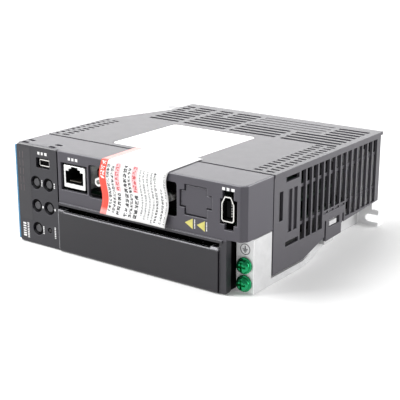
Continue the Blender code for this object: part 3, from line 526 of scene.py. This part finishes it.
def camera():
    """Camera at the viewpoint for the front and the right side."""
    data = bpy.data.cameras.new("camera")
    data.lens = CAMERA_LENS
    data.sensor_width = SENSOR
    data.clip_start = 0.01
    data.clip_end = 50.0
    made = bpy.data.objects.new("camera", data)
    bpy.context.scene.collection.objects.link(made)
    made.location = spot(*CAMERA_PLACE)
    made.rotation_mode = "QUATERNION"
    made.rotation_quaternion = (spot(*CAMERA_TARGET) - made.location).to_track_quat("-Z", "Y")
    bpy.context.scene.camera = made


def softbox(name, place, target, width, height, power):
    """White area light at a place, turned to a target; all in metres, power in watts."""
    data = bpy.data.lights.new(name, "AREA")
    data.shape = "RECTANGLE"
    data.size = width
    data.size_y = height
    data.energy = power
    made = bpy.data.objects.new(name, data)
    bpy.context.scene.collection.objects.link(made)
    made.location = Vector(place)
    made.rotation_mode = "QUATERNION"
    made.rotation_quaternion = (Vector(target) - made.location).to_track_quat("-Z", "Y")


def studio():
    """Pale floor, dim white surroundings and three softboxes."""
    bm = bmesh.new()
    bmesh.ops.create_grid(bm, x_segments=1, y_segments=1, size=SHEET)
    mesh = bpy.data.meshes.new("floor")
    bm.to_mesh(mesh)
    bm.free()
    floor = bpy.data.objects.new("floor", mesh)
    floor.location.z = -0.3 * MM
    bpy.context.scene.collection.objects.link(floor)
    s = Surface("floor_paper")
    tone = s.ramp(s.noise(60.0), [(0.3, (0.86, 0.86, 0.86)), (0.7, (0.88, 0.88, 0.88))])
    mesh.materials.append(s.set(Base_Color=tone, Roughness=0.9, Emission_Color=tone,
                                Emission_Strength=GLOW))
    world = bpy.data.worlds.new("studio")
    world.use_nodes = True
    backdrop = world.node_tree.nodes["Background"]
    backdrop.inputs["Color"].default_value = (1.0, 1.0, 1.0, 1.0)
    backdrop.inputs["Strength"].default_value = DIM
    bpy.context.scene.world = world
    softbox("key", (-0.95, -0.65, 1.25), (0.0, 0.0, 0.0), width=1.1, height=1.1, power=33.0)
    softbox("back", (-1.1, 1.5, 0.75), (0.0, 0.0, 0.0), width=1.8, height=1.0, power=18.5)
    softbox("side", (1.3, 0.95, 0.55), (0.0, 0.0, 0.03), width=0.8, height=0.6, power=21.0)
    bpy.context.scene.view_settings.view_transform = "Standard"


# ---------------------------------------------------------------- keys, marks and symbols

def key_caps():
    """Round keys with a dished top, on a flange painted dark as shade."""
    for key in KEYS:
        low, high = grid_box(f"{key}_button")
        x = (low[0] + high[0]) / 2
        z = (low[2] + high[2]) / 2
        front = low[1]
        bm = bmesh.new()
        add_lathe(bm, [
            (0.0, front + 0.12), (1.1, front + 0.1), (1.6, front), (2.0, front + 0.06),
            (2.25, front + 0.3), (2.3, front + 1.8), (4.25, front + 1.85),
            (4.25, front + 2.6), (1.2, front + 2.65), (1.2, high[1]), (0.0, high[1]),
        ], x, z)
        piece(f"{key}_cap", bm, materials["key"], f"{key}_key", [f"{key}_button"], smooth=True)


def print_marks():
    """White print beside the keys and sockets: short generic strokes, no letters."""
    dice = random.Random(7)
    front = -FILM
    back = -0.01

    def strokes(bm, x_low, x_high, z_low, z_high, count):
        """A row of small strokes of unequal width, along the longer side."""
        wide = x_high - x_low > z_high - z_low
        start, end = (x_low, x_high) if wide else (z_low, z_high)
        pitch = (end - start) / count
        for index in range(count):
            first = start + pitch * (index + 0.12)
            last = first + pitch * (0.5 + 0.3 * dice.random())
            if wide:
                add_box(bm, (first, front, z_low), (last, back, z_high))
            else:
                add_box(bm, (x_low, front, first), (x_high, back, last))

    bm = bmesh.new()
    strokes(bm, -60.2, -52.4, 53.0, 54.6, 3)
    strokes(bm, -58.0, -57.1, 35.0, 38.8, 4)
    strokes(bm, -48.5, -47.6, 35.2, 38.4, 3)
    add_box(bm, (-58.0, front, 22.3), (-57.0, back, 23.6))
    add_box(bm, (-48.7, front, 22.3), (-47.8, back, 23.6))
    strokes(bm, -58.2, -57.2, 7.0, 12.0, 5)
    strokes(bm, -49.3, -48.3, 6.0, 13.0, 7)
    strokes(bm, -73.9, -71.6, 3.0, 11.5, 6)
    strokes(bm, -70.6, -69.2, 2.6, 11.8, 9)
    piece("panel_print", bm, materials["print"])
    bm = bmesh.new()
    strokes(bm, -37.4, -29.6, 53.1, 54.7, 3)
    strokes(bm, 63.8, 71.8, 54.0, 55.5, 3)
    strokes(bm, 47.4, 48.0, 31.0, 36.0, 7)
    strokes(bm, 54.7, 55.3, 31.0, 36.0, 7)
    piece("case_print", bm, materials["print"])
    bm = bmesh.new()
    for tip in (41.6, 49.0):
        corners = [(tip, 33.3), (tip + 4.9, 36.1), (tip + 4.9, 30.6)]
        near = [bm.verts.new(spot(x, front, z)) for x, z in corners]
        far = [bm.verts.new(spot(x, back, z)) for x, z in corners]
        bm.faces.new(near)
        bm.faces.new(far[::-1])
        for index in range(3):
            after = (index + 1) % 3
            bm.faces.new((near[index], near[after], far[after], far[index]))
    piece("yellow_marks", bm, materials["yellow"])


# ---------------------------------------------------------------- tag

TAG_WIDTH = 44.3
TAG_LEFT = -12.5
TAG_BACK = 30.3                             # its end on the top
TAG_LIFT = 0.35                             # its height over the top
TAG_FOLD = 1.7                              # radius of the fold over the front edge
TAG_DROP = 27.3                             # hanging length below the fold
TAG_THICKNESS = 0.12
BAND = 4.6                                  # width of the red band

# Print columns of the tag: left and right edge across it, start and end below the fold,
# pitch of the strokes, share of ink, tone
TAG_COLUMNS = [
    (5.0, 6.8, 1.5, 27.0, 2.0, 0.66, "black"), (8.0, 9.8, 2.5, 27.5, 1.9, 0.66, "black"),
    (11.1, 13.3, 16.2, 28.0, 2.6, 0.70, "black"), (16.4, 18.6, 1.0, 28.5, 2.6, 0.75, "black"),
    (19.5, 21.3, 2.0, 28.5, 1.9, 0.66, "black"), (22.7, 24.9, 15.0, 28.5, 2.6, 0.75, "black"),
    (27.0, 28.0, 1.5, 26.0, 1.4, 0.60, "grey"), (29.3, 30.4, 2.0, 28.0, 1.4, 0.62, "grey"),
    (31.8, 32.8, 2.0, 27.0, 1.4, 0.60, "grey"), (34.2, 35.3, 2.0, 28.5, 1.4, 0.62, "grey"),
    (36.4, 37.8, 2.0, 28.0, 1.6, 0.66, "black"), (39.8, 41.2, 9.5, 28.0, 1.6, 0.66, "black"),
    (42.5, 43.4, 2.0, 28.0, 1.3, 0.58, "grey"),
    (11.1, 13.3, 0.8, 14.8, 2.6, 0.66, "red"), (22.7, 24.9, 0.8, 13.8, 2.6, 0.66, "red"),
]
TAG_TONES = {"black": (0.02, 0.02, 0.025), "grey": (0.12, 0.12, 0.13), "red": (0.62, 0.06, 0.07)}


def tag_surface():
    """White film with a red band and rows of random strokes in place of print."""
    s = Surface("tag_film")
    u, v, _ = s.axes("UV")

    def patch(left, right, start, end):
        """1 in a rectangle of the film."""
        return s.product(s.math("GREATER_THAN", u, left), s.math("LESS_THAN", u, right),
                         s.math("GREATER_THAN", v, start), s.math("LESS_THAN", v, end))

    def strokes(left, right, start, end, pitch, fill):
        """Mask of one column: cells of four by four squares, each inked or not, with gaps."""
        across = s.math("FLOOR", s.math("DIVIDE", s.math("SUBTRACT", u, left), (right - left) / 4))
        along = s.math("FLOOR", s.math("DIVIDE", v, pitch / 5))
        cell = s.add("ShaderNodeCombineXYZ")
        s.plug(cell.inputs[0], across)
        s.plug(cell.inputs[1], along)
        cell.inputs[2].default_value = left * 3.7
        chance = s.add("ShaderNodeTexWhiteNoise", noise_dimensions="3D")
        s.plug(chance.inputs["Vector"], cell.outputs[0])
        inked = s.math("LESS_THAN", chance.outputs["Value"], fill)
        row = s.math("LESS_THAN", s.math("FLOORED_MODULO", along, 5.0), 3.5)
        return s.product(inked, row, patch(left, right, start, end))

    colour = s.ramp(s.noise(10.0, detail=2.0), [
        (0.3, (0.90, 0.90, 0.895)), (0.7, (0.94, 0.94, 0.935))])
    for left, right, start, end, pitch, fill, tone in TAG_COLUMNS:
        if tone == "red":
            ground = patch(left - 0.7, right + 0.7, start - 0.6, end + 0.4)
            colour = s.mix(ground, colour, (0.93, 0.60, 0.62))
        mask = strokes(left, right, start, end, pitch, fill)
        colour = s.mix(s.product(mask, 0.95), colour, TAG_TONES[tone])
    # the red band turns paler towards its lower end and on the part on the top
    paler_band = s.scale(v, 0.0, 0.6, 25.5, 27.5)
    paler_band = s.math("MAXIMUM", paler_band, s.scale(v, 0.6, 0.0, -3.0, 0.0))
    band = s.mix(paler_band, (0.84, 0.075, 0.045), (0.93, 0.55, 0.53))
    band = s.mix(strokes(0.9, 3.6, 0.6, 10.0, 2.9, 0.62), band, (0.95, 0.92, 0.91))
    colour = s.mix(s.math("LESS_THAN", u, BAND), colour, band)
    s.bump(s.noise(0.8, detail=2.0), 0.08, 0.02)
    return s.set(Base_Color=colour, Roughness=0.42)


def tag():
    """Film stuck on the top, folded over the front edge and hanging in a soft wave."""
    top = TOP + TAG_LIFT
    columns = 28
    steps = 24
    turns = 8
    path = [(TAG_BACK, top), (24.0, top), (16.0, top), (8.0, top), (3.0, top + 0.02), (1.2, top - 0.02)]
    for step in range(1, turns + 1):
        angle = math.radians(90.0 + 86.0 * step / turns)
        path.append((0.8 + TAG_FOLD * math.cos(angle), top - TAG_FOLD + TAG_FOLD * math.sin(angle)))
    for step in range(1, steps + 1):
        part = step / steps
        path.append((-0.9 - 1.75 * part - 0.35 * math.sin(part * math.tau * 0.95),
                     55.8 - part * TAG_DROP))
    lengths = [0.0]
    for first, second in zip(path, path[1:]):
        lengths.append(lengths[-1] + math.dist(first, second))
    fold = lengths[8]                       # in the first half of the fold, where the print starts
    bm = bmesh.new()
    layer = bm.loops.layers.uv.new("UVMap")
    rows = []
    for (y, z), length in zip(path, lengths):
        fallen = max(0.0, (length - fold) / (lengths[-1] - fold))   # 0 at the fold, 1 at the end
        behind = max(0.0, y) / TAG_BACK                             # 1 at the end on the top
        row = []
        for column in range(columns + 1):
            part = column / columns
            turn = math.tau * (fallen - 0.49 + 0.15 * part) / 0.88
            sway = 1.0 * math.sin(turn) * min(1.0, fallen * 8.0) - 1.2 * behind
            ripple = 0.25 * math.sin(part * 7.0 + fallen * 3.0) * fallen
            x = TAG_LEFT + part * TAG_WIDTH + sway
            row.append((bm.verts.new(spot(x, y + ripple, z)), part * TAG_WIDTH, length - fold))
        rows.append(row)
    for first, second in zip(rows, rows[1:]):
        for column in range(columns):
            corners = (first[column], first[column + 1], second[column + 1], second[column])
            face = bm.faces.new([corner[0] for corner in corners])
            for loop, corner in zip(face.loops, corners):
                loop[layer].uv = (corner[1], corner[2])
    made = piece("tag_film", bm, tag_surface(), replaces=["peel_off_tag"], smooth=True)
    film = made.modifiers.new("film", "SOLIDIFY")
    film.thickness = TAG_THICKNESS * MM
    film.offset = 0.0


# ---------------------------------------------------------------- sockets

def socket_lining(name, outline, front, back, wall):
    """Black open-fronted box that lines a socket; outline is (x, z) points."""
    bm = bmesh.new()
    centre_x = sum(x for x, z in outline) / len(outline)
    centre_z = sum(z for x, z in outline) / len(outline)

    def ring(y, shrink):
        """Outline at a depth, drawn in towards its middle."""
        made = []
        for x, z in outline:
            reach = math.dist((x, z), (centre_x, centre_z))
            factor = 1.0 - shrink / reach
            made.append(bm.verts.new(spot(
                centre_x + (x - centre_x) * factor, y, centre_z + (z - centre_z) * factor)))
        return made

    rings = [ring(front, wall), ring(front, 0.0), ring(back, 0.0), ring(back - wall, wall)]
    count = len(outline)
    for first, second in zip(rings, rings[1:] + rings[:1]):
        if first is rings[2]:
            continue
        for index in range(count):
            after = (index + 1) % count
            bm.faces.new((first[index], first[after], second[after], second[index]))
    bm.faces.new(rings[2])
    bm.faces.new(rings[3])
    piece(name, bm, materials["black"])


def sockets():
    """Dark linings, tongues and contacts of the RJ45, USB and encoder sockets."""
    socket_lining("rj45_lining", [
        (-39.9, 40.2), (-27.5, 40.2), (-27.5, 46.7), (-29.6, 46.7), (-29.6, 48.1), (-31.4, 48.1),
        (-31.4, 49.2), (-35.8, 49.2), (-35.8, 48.1), (-37.6, 48.1), (-37.6, 46.7), (-39.9, 46.7),
    ], front=1.2, back=12.6, wall=0.3)
    bm = bmesh.new()
    for pin in range(8):
        x = -33.7 + (pin - 3.5) * 1.02
        add_box(bm, (x - 0.3, 1.8, 41.2), (x + 0.3, 11.0, 41.6))
    piece("rj45_contacts", bm, materials["gold"])
    bm = bmesh.new()
    add_box(bm, (-58.9, 2.1, 47.6), (-53.7, 7.4, 49.0))
    piece("usb_tongue_cover", bm, materials["black"])
    socket_lining("encoder_lining", [
        (64.9, 39.0), (69.5, 39.0), (70.0, 39.6), (70.0, 46.9), (68.4, 49.9), (65.7, 49.9),
        (64.2, 46.9), (64.2, 39.6),
    ], front=1.4, back=11.6, wall=0.25)
    bm = bmesh.new()
    add_box(bm, (65.5, 2.2, 40.0), (68.2, 11.2, 48.2))
    piece("encoder_tongue_cover", bm, materials["black"])
    bm = bmesh.new()
    for pin in range(6):
        z = 40.4 + pin * 1.3
        add_box(bm, (68.25, 2.3, z), (68.6, 7.0, z + 0.6))
    piece("encoder_contacts", bm, materials["nickel"])


def dsub_details():
    """Bright collars on the jack posts and two rows of sockets in the D-shaped shell."""
    for name, x in (("left", -16.7), ("right", 30.3)):
        bm = bmesh.new()
        add_lathe(bm, [
            (1.35, 1.7), (1.45, 1.2), (2.3, 1.2), (2.5, 1.5), (2.5, 1.75), (1.35, 1.8),
        ], x, POST_HEIGHT)
        add_box(bm, (x - 1.3, 2.6, POST_HEIGHT - 0.2), (x + 1.3, 2.9, POST_HEIGHT + 0.2))
        piece(f"post_collar_{name}", bm, materials["shield"], smooth=True)
    bm = bmesh.new()
    for z, count in ((45.4, 13), (42.55, 12)):
        for pin in range(count):
            x = 6.8 + (pin - (count - 1) / 2) * 2.75
            add_box(bm, (x - 0.5, 0.95, z - 0.5), (x + 0.5, 1.12, z + 0.5))
    piece("dsub_contacts", bm, materials["nickel"])


def display_film():
    """Dark film over the display opening, with faint unlit digits on it."""
    bm = bmesh.new()
    add_box(bm, (-75.4, -0.05, 13.8), (-65.9, -0.015, 55.8))
    piece("display_film", bm, materials["window"], replaces=["display_window"])
    bm = bmesh.new()
    for z in (49.4, 44.6, 39.8, 35.0, 30.2):
        for x_low, x_high in ((-74.2, -73.8), (-71.8, -71.4)):
            add_box(bm, (x_low, -0.08, z), (x_high, -0.055, z + 3.6))
    piece("display_digits", bm, materials["faint"])


def earth_symbol():
    """Raised ring with the earth sign on the grounding arm, dark grey as painted shade of its relief.
    """
    x, z = 72.4, 23.0
    back = 8.38
    front = 8.2
    bm = bmesh.new()
    add_lathe(bm, [(2.55, back), (2.6, front), (2.85, front), (2.9, back)], x, z)
    add_box(bm, (x - 0.18, front, z + 0.1), (x + 0.18, back, z + 1.8))
    for half, drop in ((1.5, 0.0), (0.95, -0.7), (0.45, -1.4)):
        add_box(bm, (x - half, front, z + drop - 0.17), (x + half, back, z + drop + 0.17))
    piece("earth_symbol", bm, materials["ink"], smooth=True)


def clamp_levers():
    """Bright release levers of the terminals, glinting in the gap over the cover."""
    for name in ("input", "brake", "motor"):
        low, high = grid_box(f"{name}_terminal_block")
        bm = bmesh.new()
        for pole in range(round((high[0] - low[0]) / POLE_PITCH)):
            x = low[0] - 0.2 + POLE_PITCH * (pole + 0.5)
            add_box(bm, (x - 0.7, low[1] - 0.12, 20.4), (x + 0.7, low[1] + 0.3, 21.3))
        piece(f"{name}_levers", bm, materials["nickel"])


camera()
studio()
key_caps()
print_marks()
tag()
sockets()
dsub_details()
display_film()
earth_symbol()
clamp_levers()
